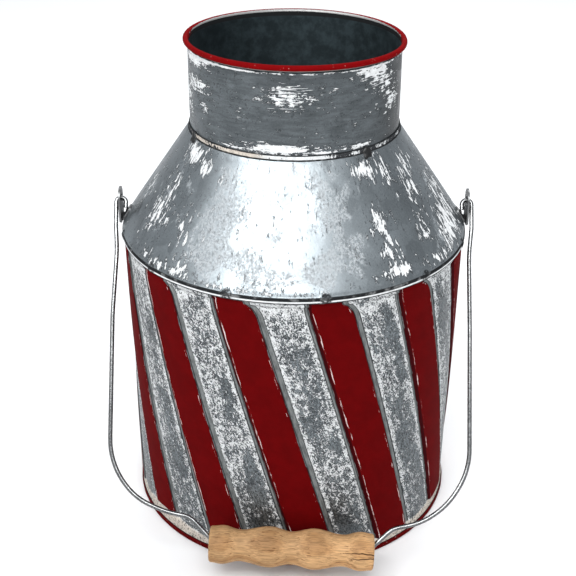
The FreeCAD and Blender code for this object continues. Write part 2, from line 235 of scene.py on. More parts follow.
def rib_columns():
    """Angles of the mesh's columns across one rib pitch, close together where the sheet turns."""
    half = [0.0, 1.6, 3.2, 4.6, 5.4, 5.9, 6.2, 6.4, 6.65, 6.9, 7.15, 7.4, 7.65, 7.95]
    half += [8.25, 8.37, 8.48, 8.6, 8.9, 9.4, 10.2, 11.8, 13.4]
    return np.array([-a for a in half[:0:-1]] + half + [RIB_PITCH / 2])


def body_rows():
    """Heights of the mesh's rows, close together at the ends of the ribs."""
    low = [BODY_BOTTOM, 3.0, 4.6, 5.6] + list(np.arange(6.0, 14.2, 0.4))
    middle = np.arange(15, 170, 3.0)
    high = [171, 173, 174.5, 176, 177, 178, 179, 180, 180.8, 181.2, 181.6, 182, 182.3, 182.6]
    high += [183.4, 185, BODY_TOP]
    return np.array(low + list(middle) + high)


def make_body():
    across = np.tile(rib_columns(), RIB_COUNT)
    middle = np.repeat(RIB_FIRST + RIB_PITCH * np.arange(RIB_COUNT), len(rib_columns()))
    rows = body_rows()
    outer = rows[:, None]
    slant = RIB_SLANT * (outer - RIB_MID_HEIGHT)
    degrees = middle + across + slant
    low_height = above_foot(degrees, outer)
    radius = body_radius(outer) + relief(across[None, :], outer, low_height)
    radius = radius + waviness(degrees, outer, 4, 0.12) * smooth(outer, 184, 170) * smooth(outer, 4, 14)
    inner = (radius - SHEET)[::-1]
    all_radius = np.concatenate([radius, inner])
    all_degrees = np.concatenate([degrees, degrees[::-1]])
    all_height = np.concatenate([outer, outer[::-1]])
    points = round_points(all_radius, all_degrees, all_height)
    faces = loop_faces(2 * len(rows), len(across), True)
    across_all = np.broadcast_to(across, all_radius.shape)
    past_crest = np.abs(across_all) - crest_half(across_all, all_height)
    values = {
        "past_crest": np.radians(past_crest) * BODY_RADIUS_TOP,
        "right_side": smooth(across_all, -1.0, 1.0),
        "above_foot": np.concatenate([low_height, low_height[::-1]]),
    }
    return add_piece("ribbed_body", points, faces, "can", ["body_shell"], values)


# Shoulder

def cone_point(up, off):
    """(radius, height) of a point `up` the cone from the seam and `off` its outer face."""
    run, rise = SEAM_RADIUS - CONE_TOP_RADIUS, CONE_TOP_HEIGHT - SEAM_HEIGHT
    slope = math.hypot(run, rise)
    return (
        SEAM_RADIUS + (-run * up + rise * off) / slope,
        SEAM_HEIGHT + (rise * up + run * off) / slope,
    )


def shoulder_outline():
    slope = math.hypot(SEAM_RADIUS - CONE_TOP_RADIUS, CONE_TOP_HEIGHT - SEAM_HEIGHT)
    skirt_inner = BODY_RADIUS_TOP + 0.05
    points = arc_points((SEAM_RADIUS - 0.5, SKIRT_BOTTOM + 0.5), 0.5, -90, 0, 5)
    points += straight((SEAM_RADIUS, SKIRT_BOTTOM + 1.0), (SEAM_RADIUS, SEAM_HEIGHT - 1.0), 4)
    points += arc_points((SEAM_RADIUS - 1.0, SEAM_HEIGHT - 0.7), 1.0, 0, 55, 6)
    points += straight(cone_point(1.6, 0), cone_point(slope - 1.8, 0), 34)
    points += arc_points((CONE_TOP_RADIUS + 1.0, CONE_TOP_HEIGHT + 0.9), 1.0, 235, 180, 5)
    points += arc_points((CONE_TOP_RADIUS - 0.35, FLANGE_TOP - 0.35), 0.35, 0, 90, 4)
    points += [(CONE_TOP_RADIUS - 0.6, FLANGE_TOP), (CONE_TOP_RADIUS - 0.6, CONE_TOP_HEIGHT - 1)]
    points += straight(cone_point(slope - 2.5, -0.6), cone_point(2.5, -0.6), 14)
    points += [(skirt_inner, BODY_TOP + 0.3), (skirt_inner, SKIRT_BOTTOM)]
    return points


# Where each lump lies from its rib's middle, in degrees, and how far it lifts the seam
CRIMP_SHIFTS = (-1.2, -1.2, 4.3, 1.8, -0.4, 1.1, -1.5, 0.2, 0.9, -0.7, 1.4, -1.2)
CRIMP_LIFT = 0.4


def crimps(degrees, height):
    """Small lumps where the skirt was hammered down over the end of each rib."""
    first = RIB_FIRST + RIB_SLANT * (SKIRT_BOTTOM - RIB_MID_HEIGHT)
    lumps = 0
    for index, extra in enumerate(CRIMP_SHIFTS):
        away = wrap(degrees - first - index * RIB_PITCH - extra)
        lumps = lumps + bump(away, 0, 1.6)
    return lumps * bump(height, SEAM_HEIGHT - 1.0, 2.6)


def shoulder_shift(radius, degrees, height):
    free = smooth(height, SEAM_HEIGHT, SEAM_HEIGHT + 12)
    free = free * smooth(height, CONE_TOP_HEIGHT, CONE_TOP_HEIGHT - 12)
    out = waviness(degrees, height, 11, 0.3) * free
    lump = crimps(degrees, height) * smooth(radius, SEAM_RADIUS - 4, SEAM_RADIUS - 1.2)
    out = out + 0.85 * lump
    joint = bump(height, CONE_TOP_HEIGHT + 1, 2.0) * (radius > CONE_TOP_RADIUS - 0.1)
    out = out + joint * 0.15 * np.sin(np.radians(degrees) * 37) * np.sin(np.radians(degrees) * 23 + 1)
    return out, CRIMP_LIFT * lump


def make_shoulder():
    return lathe(
        "shoulder", shoulder_outline(), 900, shoulder_shift,
        "can", ["shoulder_cone"],
    )


# Neck

def neck_outline():
    inside = NECK_RADIUS - SHEET
    centre = (inside + RIM_ROLL, CAN_HEIGHT - RIM_ROLL)
    points = straight((inside, NECK_BOTTOM), (inside, centre[1] - 1), 16)
    points += arc_points(centre, RIM_ROLL, 180, -100, 26)
    points += arc_points(centre, RIM_ROLL - SHEET, -100, 195, 20)
    points += straight((NECK_RADIUS, centre[1] - 1.4), (NECK_RADIUS, NECK_BOTTOM + 0.6), 24)
    points += [(NECK_RADIUS + 1.4, NECK_BOTTOM + 0.5), (NECK_RADIUS + 1.4, NECK_BOTTOM)]
    return points


def neck_shift(radius, degrees, height):
    """The mouth is not quite true: it dips a little to the right and the back."""
    free = smooth(height, FLANGE_TOP, FLANGE_TOP + 8)
    out = waviness(degrees, height, 23, 0.22) * free
    lap = smooth(degrees, 168, 171) * smooth(radius, NECK_RADIUS - 0.3, NECK_RADIUS)
    lap = lap * smooth(height, FLANGE_TOP, FLANGE_TOP + 1.5)
    out = out + 0.4 * lap * smooth(height, CAN_HEIGHT - 4, CAN_HEIGHT - 6)
    dip = 1.1 * smooth(degrees, 0, 90) - 0.3 * smooth(degrees, 90, 180) + 0.8 * smooth(degrees, -90, -180)
    return out, -dip * smooth(height, FLANGE_TOP, CAN_HEIGHT - 6)


def make_neck():
    return lathe(
        "neck", neck_outline(), 540, neck_shift,
        "can", ["neck_collar", "rim_wire"],
    )


SOLDER_PLACES = (-66.0, 40.0, 165.0)
SOLDER_HALF_WIDTH = 3.3
SOLDER_HALF_HEIGHT = 3.0
SOLDER_THICKNESS = 1.5


def make_solder():
    """Spots of solder that run from the flange down onto the cone."""
    rows, columns = 13, 24
    rise = np.radians(np.linspace(-90, 90, rows))[:, None]
    around = np.radians(np.linspace(0, 360, columns, endpoint=False))[None, :]
    slope = (SEAM_RADIUS - CONE_TOP_RADIUS) / (CONE_TOP_HEIGHT - SEAM_HEIGHT)
    points, faces = [], []
    for place in SOLDER_PLACES:
        ragged = 1 + 0.14 * np.sin(3 * around + place) + 0.08 * np.sin(5 * around)
        height = CONE_TOP_HEIGHT - 0.1 + SOLDER_HALF_HEIGHT * np.cos(rise) * np.sin(around) * ragged
        radius = CONE_TOP_RADIUS + np.clip(CONE_TOP_HEIGHT - height, 0, None) * slope
        radius = radius + SOLDER_THICKNESS * np.sin(rise) - 0.15 * np.clip(height - FLANGE_TOP, 0, None)
        sideways = SOLDER_HALF_WIDTH * np.cos(rise) * np.cos(around) * ragged
        degrees = place + np.degrees(sideways / CONE_TOP_RADIUS)
        first = len(points)
        points.extend(round_points(radius, degrees, height).tolist())
        faces += [tuple(first + corner for corner in face) for face in loop_faces(rows, columns, False)]
    return add_piece("solder_spots", points, faces, "can", ["neck_solder"], {})


# Base

def base_outline():
    wall = BODY_RADIUS_BOTTOM - SHEET
    inner = wall - 1.4
    points = straight((0, PAN_HEIGHT), (inner - 3, PAN_HEIGHT), 30)
    points += arc_points((inner - 1.2, PAN_HEIGHT - 1.2), 1.2, 90, 0, 5)
    points += arc_points((inner + 0.9, 0.9), 0.9, 180, 270, 5)
    points += arc_points((BEAD_RADIUS - 1.3, 1.3), 1.3, -90, 0, 7)
    points += arc_points((BEAD_RADIUS - 1.0, BEAD_HEIGHT - 1.0), 1.0, 0, 90, 6)
    points += [(BODY_RADIUS_BOTTOM + 0.02, BEAD_HEIGHT - 0.1), (BODY_RADIUS_BOTTOM + 0.02, BODY_BOTTOM)]
    points += [(wall, BODY_BOTTOM), (wall, PAN_HEIGHT + PAN_SHEET)]
    points += straight((inner, PAN_HEIGHT + PAN_SHEET), (0, PAN_HEIGHT + PAN_SHEET), 30)
    points += [(0, PAN_HEIGHT + PAN_SHEET)]
    return points


def base_shift(radius, degrees, height):
    """The disc is a little uneven, and the bead slightly wavy."""
    disc = smooth(radius, BEAD_RADIUS - 6, BEAD_RADIUS - 20)
    bead = (radius > BODY_RADIUS_BOTTOM + 0.5) * smooth(height, 0, 1.5)
    out = -0.12 * bead * (1 + np.sin(np.radians(degrees) * 17 + 1) * np.sin(np.radians(degrees) * 29))
    return out, disc * 0.25 * np.sin(radius / 11) * np.sin(np.radians(degrees) * 2)


def make_base():
    return lathe("base", base_outline(), 360, base_shift, "can", ["base_pan"])


# Grip

GRIP_LOW, GRIP_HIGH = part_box("grip")
GRIP_MIDDLE = (GRIP_LOW + GRIP_HIGH) / 2 / MM
PIVOT_HEIGHT = 202.0
BAIL_LEAN = math.atan2(-GRIP_MIDDLE.y, PIVOT_HEIGHT - GRIP_MIDDLE.z)
GRIP_TILT = math.radians(2.5)
GRIP_LENGTH = 98.5
GRIP_END = GRIP_LENGTH / 2
GRIP_BORE = 1.9
GRIP_MOUTH_RADIUS = 6.4
GRIP_MOUTH_DEPTH = 5.2
GRIP_EDGE = 1.5
GRIP_FLAT = GRIP_END - GRIP_EDGE

# Three directions of the grip: along it to the right, up the leaning bail, and out to the front
GRIP_ALONG = Vector((
    math.cos(GRIP_TILT),
    -math.sin(GRIP_TILT) * math.sin(BAIL_LEAN),
    -math.sin(GRIP_TILT) * math.cos(BAIL_LEAN),
))
GRIP_FRONT = Vector((0, -math.cos(BAIL_LEAN), math.sin(BAIL_LEAN)))
GRIP_UP = GRIP_FRONT.cross(GRIP_ALONG)


def grip_radius(along):
    """Radius of the turned grip: bulges and waists at given places, joined by half cosine waves."""
    turns = [(0.0, 9.7), (13.2, 12.1), (31.0, 9.4), (41.5, 11.6), (GRIP_FLAT, 10.95)]
    side = np.clip(np.abs(along), 0, GRIP_FLAT)
    radius = np.full(np.shape(along), turns[0][1])
    for (x0, r0), (x1, r1) in zip(turns, turns[1:]):
        share = np.clip((side - x0) / (x1 - x0), 0, 1)
        radius = radius + (r1 - r0) * (1 - np.cos(math.pi * share)) / 2
    return radius


def grip_outline():
    """(radius, along) outline of the grip, outside and bore."""
    edge = float(grip_radius(np.array(GRIP_FLAT)))
    points = [(float(grip_radius(np.array(x))), x) for x in np.linspace(-GRIP_FLAT, GRIP_FLAT, 150)]
    points += arc_points((edge - GRIP_EDGE, GRIP_FLAT), GRIP_EDGE, 8, 90, 8)
    points += straight((edge - GRIP_EDGE - 0.5, GRIP_END), (GRIP_MOUTH_RADIUS, GRIP_END), 5)
    bore_end = GRIP_END - GRIP_MOUTH_DEPTH
    points += straight((GRIP_MOUTH_RADIUS, GRIP_END), (GRIP_BORE, bore_end), 5)
    points += straight((GRIP_BORE, bore_end), (GRIP_BORE, -bore_end), 6)
    points += straight((GRIP_BORE, -bore_end), (GRIP_MOUTH_RADIUS, -GRIP_END), 5)
    points += straight((GRIP_MOUTH_RADIUS, -GRIP_END), (edge - GRIP_EDGE, -GRIP_END), 5)
    points += arc_points((edge - GRIP_EDGE, -GRIP_FLAT), GRIP_EDGE, -90, -8, 8)
    return points


CRACKS = (
    # along the grip from, to; turn in degrees from the bail's side towards the front; depth; half width
    (25.0, 49.3, 92.0, 1.0, 0.2),
    (30.0, 49.3, 108.0, 0.9, 0.22),
    (40.0, 49.3, 130.0, 0.6, 0.15),
)


def crack_depth(along, turn):
    """Drying cracks that open towards the grip's right end, as a depth below the surface."""
    depth = 0
    for start, end, place, deep, half in CRACKS:
        wander = place + 2.2 * np.sin((along - start) * 0.3) + 0.9 * np.sin(along * 1.3)
        away = np.radians(wrap(turn - wander)) * GRIP_MOUTH_RADIUS * 1.7
        opening = smooth(along, start, end) * half + 0.06
        depth = depth + deep * bump(away, 0, opening) * smooth(along, start, start + 6)
    return depth


def make_grip():
    outline = np.array(grip_outline())
    turn = np.linspace(-180, 180, 240, endpoint=False)[None, :]
    radius, along = outline[:, :1], outline[:, 1:]
    outside = radius > GRIP_MOUTH_RADIUS + 0.2
    oval = 0.12 * np.cos(np.radians(turn) * 2 + along / 30) - 0.12
    crack = crack_depth(along, turn) * outside
    radius = radius + np.where(outside, oval, 0) - crack
    angle = np.radians(turn)
    offsets = (
        along[..., None] * np.array(GRIP_ALONG)
        + (radius * np.cos(angle))[..., None] * np.array(GRIP_UP)
        + (radius * np.sin(angle))[..., None] * np.array(GRIP_FRONT)
    )
    points = (np.array(GRIP_MIDDLE) + offsets).reshape(-1, 3)
    faces = loop_faces(len(outline), turn.size, True)
    return add_piece("wooden_grip", points, faces, "grip", ["grip"], {"crack": crack})


# Materials

class Nodes:
    """Short calls that build one material's nodes. Places are in millimetres."""

    def __init__(self, name):
        self.material = bpy.data.materials.new(name)
        self.material.use_nodes = True
        self.tree = self.material.node_tree
        self.shader = self.tree.nodes["Principled BSDF"]
        self.shader.inputs["Specular IOR Level"].default_value = 0.03
        coordinates = self.tree.nodes.new("ShaderNodeTexCoord")
        self.place = self.scale(coordinates.outputs["Object"], 1 / MM)
        self.surface = None         # (colour, metal, roughness, height)

    def put(self, socket, value):
        if isinstance(value, bpy.types.NodeSocket):
            self.tree.links.new(value, socket)
        else:
            socket.default_value = value

    def make(self, kind, inputs, **settings):
        node = self.tree.nodes.new(kind)
        for name, value in settings.items():
            setattr(node, name, value)
        for key, value in inputs.items():
            self.put(node.inputs[key], value)
        return node

    def math(self, operation, first, second=0.0, third=0.0):
        inputs = {0: first, 1: second, 2: third}
        return self.make("ShaderNodeMath", inputs, operation=operation).outputs[0]

    def scale(self, vector, factor):
        inputs = {0: vector, "Scale": factor}
        return self.make("ShaderNodeVectorMath", inputs, operation="SCALE").outputs[0]

    def vector(self, operation, first, second=(0.0, 0.0, 0.0), output="Vector"):
        inputs = {0: first, 1: second}
        return self.make("ShaderNodeVectorMath", inputs, operation=operation).outputs[output]

    def unit(self, vector):
        return self.vector("NORMALIZE", vector)

    def xyz(self, vector):
        return self.make("ShaderNodeSeparateXYZ", {0: vector}).outputs

    def joined(self, x, y, z):
        return self.make("ShaderNodeCombineXYZ", {0: x, 1: y, 2: z}).outputs[0]

    def noise(self, vector, size, detail=4.0, rough=0.55, bend=0.0):
        """Noise from 0 to 1 whose blobs are about `size` millimetres."""
        inputs = {"Vector": vector, "Scale": 1 / size, "Detail": detail}
        inputs |= {"Roughness": rough, "Distortion": bend}
        return self.make("ShaderNodeTexNoise", inputs).outputs["Fac"]

    def streaks(self, vector, across, along, *noise_values):
        """Noise whose marks have one length across (X, Y) and another along Z."""
        squeezed = self.vector("MULTIPLY", vector, (1 / across, 1 / across, 1 / along))
        return self.noise(squeezed, *noise_values)

    def cells(self, vector, size):
        """A random value for each crystal-like cell about `size` millimetres across."""
        inputs = {"Vector": vector, "Scale": 1 / size}
        return self.xyz(self.make("ShaderNodeTexVoronoi", inputs).outputs["Color"])[0]

    def step(self, value, low, high, start=0.0, end=1.0):
        """From start to end as value goes from low to high, along an S curve."""
        inputs = {"Value": value, "From Min": low, "From Max": high, "To Min": start, "To Max": end}
        return self.make("ShaderNodeMapRange", inputs, interpolation_type="SMOOTHSTEP").outputs[0]

    def mix(self, factor, first, second):
        """Between two colours or two numbers. The node has its own sockets for each."""
        if isinstance(second, tuple) or getattr(second, "type", "") == "RGBA":
            inputs = {0: factor, 6: first, 7: second}
            return self.make("ShaderNodeMix", inputs, data_type="RGBA").outputs[2]
        inputs = {0: factor, 2: first, 3: second}
        return self.make("ShaderNodeMix", inputs, data_type="FLOAT").outputs[0]

    def shade(self, paint, factor):
        """A colour made lighter or darker by a factor."""
        grey = self.joined(factor, factor, factor)
        inputs = {0: 1.0, 6: paint, 7: grey}
        node = self.make("ShaderNodeMix", inputs, data_type="RGBA", blend_type="MULTIPLY")
        return node.outputs[2]

    def times(self, first, *factors):
        for factor in factors:
            first = self.math("MULTIPLY", first, factor)
        return first

    def plus(self, first, second):
        return self.math("ADD", first, second)

    def minus(self, first, second):
        return self.math("SUBTRACT", first, second)

    def linear(self, value, factor, extra):
        """Value times factor, plus extra."""
        return self.math("MULTIPLY_ADD", value, factor, extra)

    def either(self, first, second):
        """The larger of two masks."""
        return self.math("MAXIMUM", first, second)

    def between(self, value, low, high, soft):
        """1 where value lies from low to high, with edges `soft` wide."""
        return self.times(
            self.step(value, low - soft / 2, low + soft / 2),
            self.step(value, high + soft / 2, high - soft / 2),
        )

    def patches(self, spots):
        """Sum of soft patches at given (turn, height, half turn, half height, strength) places."""
        x, y, z = self.xyz(self.place)
        turn = self.times(self.math("ARCTAN2", x, self.times(y, -1.0)), 180 / math.pi)
        total = 0.0
        for around, height, wide, tall, strength in spots:
            across = self.times(self.minus(turn, around), 1 / wide)
            up = self.times(self.minus(z, height), 1 / tall)
            far = self.linear(across, across, self.times(up, up))
            spot = self.math("EXPONENT", self.times(far, -1.0))
            total = self.linear(spot, strength, total)
        return total

    def back_seam(self, half):
        """The line of the lap seam at the back."""
        x, y, _ = self.xyz(self.place)
        return self.times(self.step(self.math("ABSOLUTE", x), half, 0.2), self.step(y, 0.0, 1.0))

    def flat(self):
        """The place with its height left out."""
        return self.vector("MULTIPLY", self.place, (1.0, 1.0, 0.0))

    def from_axis(self):
        return self.vector("LENGTH", self.flat(), output="Value")

    def outside(self):
        """1 where the surface faces away from Z, which is the outside of a turned piece."""
        normal = self.make("ShaderNodeTexCoord", {}).outputs["Normal"]
        facing = self.vector("DOT_PRODUCT", self.unit(self.flat()), normal, "Value")
        return self.step(facing, 0.0, 0.1)

    def attribute(self, name):
        return self.make("ShaderNodeAttribute", {}, attribute_name=name).outputs["Fac"]

    def over(self, lower, upper, mask):
        """One surface laid over another where mask is 1."""
        return tuple(self.mix(mask, a, b) for a, b in zip(lower, upper))

    def lay(self, upper, *masks):
        """Lays a surface over the piece's own where all the masks are 1."""
        self.surface = self.over(self.surface, upper, self.times(*masks))

    def tint(self, factor):
        self.surface = (self.shade(self.surface[0], factor),) + self.surface[1:]

    def finish(self, bump_depth):
        paint, metal, rough, height = self.surface
        self.put(self.shader.inputs["Base Color"], paint)
        self.put(self.shader.inputs["Metallic"], metal)
        self.put(self.shader.inputs["Roughness"], rough)
        inputs = {"Strength": 1.0, "Distance": bump_depth * MM, "Height": height}
        self.put(self.shader.inputs["Normal"], self.make("ShaderNodeBump", inputs).outputs[0])
        return self.material


def rgb(red, green, blue):
    return (red, green, blue, 1.0)


# Plain surfaces, each a colour, metal, roughness and height
DARK_METAL = (rgb(0.04, 0.042, 0.045), 0.5, 0.65, 0)
# near black: painted shade in creases, under edges and in seams, with some dirt
CREASE_SHADE_AND_DIRT = (rgb(0.016, 0.017, 0.018), 0, 0.8, 0)
# near-black red: painted shade on the red paint down the rib walls
RED_WALL_SHADE = (rgb(0.03, 0.001, 0.002), 0, 0.6, 0.6)
RUBBED_RED = (rgb(0.72, 0.58, 0.56), 0, 0.7, 0.4)
CHIPPED_RED = (rgb(0.45, 0.2, 0.18), 0, 0.7, 0.4)
WORN_BEAD = (rgb(0.4, 0.3, 0.28), 0, 0.7, 0.4)
DUSTY_METAL = (rgb(0.36, 0.33, 0.3), 0.2, 0.6, 0.3)
BARE_RIM = (rgb(0.33, 0.33, 0.325), 0.35, 0.5, 0.3)


def zinc(nodes, place, light=1):
    """Galvanised sheet: faint crystals, clouds, dull spots and fine grain."""
    inputs = {"Vector": place, "Scale": 1 / 14, "Detail": 3.0}
    warp = nodes.make("ShaderNodeTexNoise", inputs).outputs["Color"]
    bent = nodes.vector("ADD", place, nodes.scale(warp, 9))
    crystals = nodes.cells(bent, 9)
    clouds = nodes.noise(place, 22, 4)
    grain = nodes.noise(place, 0.8, 3, 0.7)
    spots = nodes.times(
        nodes.step(nodes.noise(place, 1.8, 4, 0.7), 0.55, 0.63),
        nodes.step(nodes.noise(place, 13, 3, 0.6, 0.4), 0.48, 0.6),
    )
    tone = nodes.linear(crystals, 0.16, 0.92)
    tone = nodes.times(tone, nodes.step(clouds, 0.3, 0.7, 0.86, 1.12))
    tone = nodes.times(tone, nodes.step(grain, 0.3, 0.75, 0.88, 1.1))
    tone = nodes.times(tone, nodes.step(spots, 0, 1, light, 0.66 * light))
    rough = nodes.linear(crystals, 0.12, 0.33)
    rough = nodes.linear(spots, 0.2, rough)
    return nodes.shade(rgb(0.152, 0.17, 0.18), tone), 0.85, rough, nodes.times(grain, 0.25)


def shaded_inside(nodes, place):
    """Leaves the surface so far on the outside only, with dull, stained zinc inside the can, painted far
    darker than the outside as painted shade.
    """
    stains = nodes.step(nodes.noise(place, 7, 5, 0.65), 0.35, 0.7, 0.72, 1.35)
    inner = (nodes.shade(rgb(0.031, 0.043, 0.048), stains), 0.85, 0.6, 0)
    nodes.surface = nodes.over(inner, nodes.surface, nodes.outside())


def whitewash(nodes, place, light=1):
    """Thin white paint, brushed and rubbed."""
    tone = nodes.noise(place, 3, 5, 0.65)
    body = nodes.shade(rgb(0.58, 0.59, 0.59), nodes.step(tone, 0.3, 0.75, 0.8 * light, 1.08 * light))
    return body, 0, 0.75, nodes.linear(tone, 0.5, 0.45)


def lay_whitewash(nodes, place, cover, limit, light, dirt_width, area):
    """Paint where cover is over the limit, with dirt caught along the edges of its flakes."""
    white = nodes.times(nodes.step(cover, limit, limit + 0.02), area)
    nodes.lay(whitewash(nodes, place, light), white)
    edges = nodes.between(cover, limit - dirt_width, limit, 0.3 * dirt_width)
    nodes.lay(DARK_METAL, edges, 0.85, area)
    return white


def cream(nodes, place):
    """Whitewash yellowed where it lies thick against a seam."""
    tone = nodes.noise(place, 2.4, 4, 0.6)
    return nodes.shade(rgb(0.6, 0.54, 0.47), nodes.step(tone, 0.3, 0.7, 0.75, 1.1)), 0, 0.8, 0.7


def dull_bloom(nodes, place):
    """Chalky corrosion that takes the shine off the zinc, with fine dark specks in it."""
    tone = nodes.noise(place, 0.9, 5, 0.75)
    specks = nodes.step(tone, 0.54, 0.61, 1, 0.4)
    light = nodes.times(nodes.step(tone, 0.3, 0.6, 1.25, 0.85), specks)
    body = nodes.shade(rgb(0.385, 0.41, 0.425), light)
    return body, 0.12, 0.7, nodes.times(tone, 0.5)


def red_paint(nodes, place, light=1):
    tone = nodes.noise(place, 9, 5, 0.6)
    speck = nodes.noise(place, 0.9, 2, 0.6)
    clouds = nodes.step(tone, 0.3, 0.7, 0.88 * light, 1.08 * light)
    body = nodes.shade(rgb(0.103, 0.0004, 0.0009), clouds)
    return body, 0, 0.8, nodes.linear(speck, 0.2, 0.8)


PANEL_EDGE = 3.9                # millimetres past a rib's crest, where the groove's far wall stands
RIB_FOOT = PRESSED_BOTTOM + 3   # where the red ends at the bottom, as above_foot
RED_TOP = 184.0
BODY_BARE = 0.49                # cover below which no paint is left
SHOULDER_BARE = 0.66
NECK_BARE = 0.655


def body_cover(nodes, place, edge, height):
    """How much whitewash is left between the ribs, about 0.5 on average."""
    blobs = nodes.streaks(place, 1, 1.5, 2.7, 7, 0.78, 0.4)
    fine = nodes.streaks(place, 1, 1.3, 0.8, 3, 0.65)
    cover = nodes.linear(fine, 0.42, nodes.times(blobs, 0.58))
    bare = nodes.streaks(place, 1, 2.2, 15, 2)
    rubbed = nodes.times(nodes.step(bare, 0.46, 0.62), nodes.step(edge, 5, 8.5))
    cover = nodes.plus(cover, nodes.step(edge, 9, 4.6, 0, 0.04))
    cover = nodes.minus(cover, nodes.times(rubbed, 0.075))
    cover = nodes.plus(cover, nodes.step(height, PRESSED_TOP - 10.5, PRESSED_TOP - 1.5, 0, 0.07))
    cover = nodes.minus(cover, nodes.step(height, 35, 80, 0.04, 0.006))
    foot = nodes.step(nodes.attribute("above_foot"), RIB_FOOT + 0.8, RIB_FOOT - 1, 0, 0.16)
    return nodes.plus(cover, foot)


def worn_line(nodes, place, edge, wander, limit):
    """Broken bare line just inside a rib's edge."""
    dashes = nodes.streaks(place, 1, 9, 1.5, 4, 0.65)
    ridge = nodes.math("ABSOLUTE", nodes.plus(edge, nodes.step(wander, 0.3, 0.7, 0.15, 0.8)))
    return nodes.times(nodes.step(ridge, 0.36, 0.16), nodes.step(dashes, limit, nodes.plus(limit, 0.05)))


def body_metal(nodes, place, edge, broken):
    """Blotched zinc, and the darker groove along each rib."""
    nodes.surface = zinc(nodes, place, 0.92)
    blotches = nodes.streaks(place, 1, 1.7, 1.5, 5, 0.75)
    nodes.tint(nodes.step(blotches, 0.42, 0.6, 1.25, 0.5))
    band = nodes.times(nodes.between(edge, 0.6, PANEL_EDGE, 0.5), 0.85)
    groove_tone = nodes.shade(rgb(0.17, 0.178, 0.175), nodes.step(broken, 0.3, 0.68, 0.6, 1.35))
    nodes.lay((groove_tone, 0.5, 0.5, 0.2), band)


def body_whitewash(nodes, place, edge):
    """Flaking whitewash on the panels between the ribs, above them and below their feet."""
    height = nodes.xyz(nodes.place)[2]
    low = nodes.attribute("above_foot")
    panel = nodes.either(
        nodes.step(edge, PANEL_EDGE, PANEL_EDGE + 0.5),
        nodes.step(height, RED_TOP - 0.4, RED_TOP + 0.2),
    )
    panel = nodes.either(panel, nodes.step(low, RIB_FOOT, RIB_FOOT - 0.6))
    cover = body_cover(nodes, place, edge, height)
    white = lay_whitewash(nodes, place, cover, BODY_BARE, 1.22, 0.026, panel)
    nodes.lay(cream(nodes, place), nodes.step(low, RIB_FOOT + 0.6, RIB_FOOT - 1.2), white)
    pits = nodes.streaks(place, 1, 1.4, 0.9, 3, 0.6)
    nodes.lay(DARK_METAL, nodes.step(pits, 0.565, 0.6), panel, 0.9)


def red_end(nodes):
    """How far past the crest the red goes: further on a rib's left side than on its right."""
    return nodes.mix(nodes.attribute("right_side"), 2, 0.7)


def body_red(nodes, place, edge, wander):
    """Red paint on the ribs, darkened down their walls with painted shade, with a broken bare line at each
    edge.
    """
    red_edge = nodes.plus(edge, nodes.step(wander, 0.3, 0.7, -0.4, 0.4))
    past_end = nodes.minus(red_edge, red_end(nodes))
    foot = nodes.linear(nodes.noise(place, 4, 3, 0.6), 1.4, nodes.attribute("above_foot"))
    top = nodes.step(nodes.xyz(nodes.place)[2], RED_TOP + 0.3, RED_TOP - 0.2)
    bottom = nodes.step(foot, RIB_FOOT + 0.2, RIB_FOOT + 0.7)
    red = nodes.times(nodes.step(past_end, 0.15, -0.2), top, bottom)
    # painted shade: the red turns near black down the rib walls
    wall = nodes.times(nodes.step(edge, -0.05, 0.5), 0.9)
    nodes.lay(nodes.over(red_paint(nodes, place), RED_WALL_SHADE, wall), red)
    limit = nodes.mix(nodes.attribute("right_side"), 0.5, 0.57)
    nodes.lay(RUBBED_RED, worn_line(nodes, place, edge, wander, limit), red)


def body_shade_and_dirt_lines(nodes, edge, broken):
    """Painted shade, with some dirt, beside the red down the rib walls, along the groove's far edge under
    its step and at the ribs' ends, and the dark line of the lap seam.
    """
    height = nodes.xyz(nodes.place)[2]
    beside_red = nodes.between(nodes.minus(edge, red_end(nodes)), 0, 0.5, 0.3)
    step_shadow_line = nodes.between(edge, PANEL_EDGE - 0.15, PANEL_EDGE + 0.4, 0.25)
    step_shadow_line = nodes.times(step_shadow_line, nodes.step(broken, 0.36, 0.5, 0.25, 0.9))
    creases = nodes.either(nodes.times(beside_red, 0.85), step_shadow_line)
    rib_end = nodes.between(height, PRESSED_TOP - 1.3, PRESSED_TOP - 0.1, 0.8)
    off_crest = nodes.step(edge, 1.5, 3.5, 0, 0.6)
    rib_end = nodes.times(rib_end, off_crest, nodes.step(broken, 0.4, 0.55))
    creases = nodes.either(creases, rib_end)
    foot = nodes.step(nodes.attribute("above_foot"), RIB_FOOT - 0.6, RIB_FOOT + 0.6)
    return nodes.either(nodes.times(creases, foot), nodes.times(nodes.back_seam(0.55), 0.9))


def body_material():
    nodes = Nodes("ribbed_body")
    height = nodes.xyz(nodes.place)[2]
    turn = nodes.times(nodes.minus(height, RIB_MID_HEIGHT), -math.radians(RIB_SLANT))
    inputs = {"Vector": nodes.place, "Angle": turn}
    place = nodes.make("ShaderNodeVectorRotate", inputs, rotation_type="Z_AXIS").outputs[0]
    edge = nodes.attribute("past_crest")
    wander = nodes.streaks(place, 1, 4, 2.5, 3, 0.6)
    broken = nodes.streaks(place, 1, 3, 2, 4, 0.65)
    body_metal(nodes, place, edge, broken)
    body_whitewash(nodes, place, edge)
    body_red(nodes, place, edge, wander)
    # painted shade and dirt in the body's creases, and the dark lap seam
    nodes.lay(CREASE_SHADE_AND_DIRT, body_shade_and_dirt_lines(nodes, edge, broken))
    # inside of the can: stained zinc darkened with painted shade
    shaded_inside(nodes, place)
    return nodes.finish(0.12)


def on_round(nodes, radius):
    """Places moved out or in to one radius, so that marks follow a cone's slope."""
    height = nodes.vector("MULTIPLY", nodes.place, (0, 0, 1))
    return nodes.vector("ADD", nodes.scale(nodes.unit(nodes.flat()), radius), height)


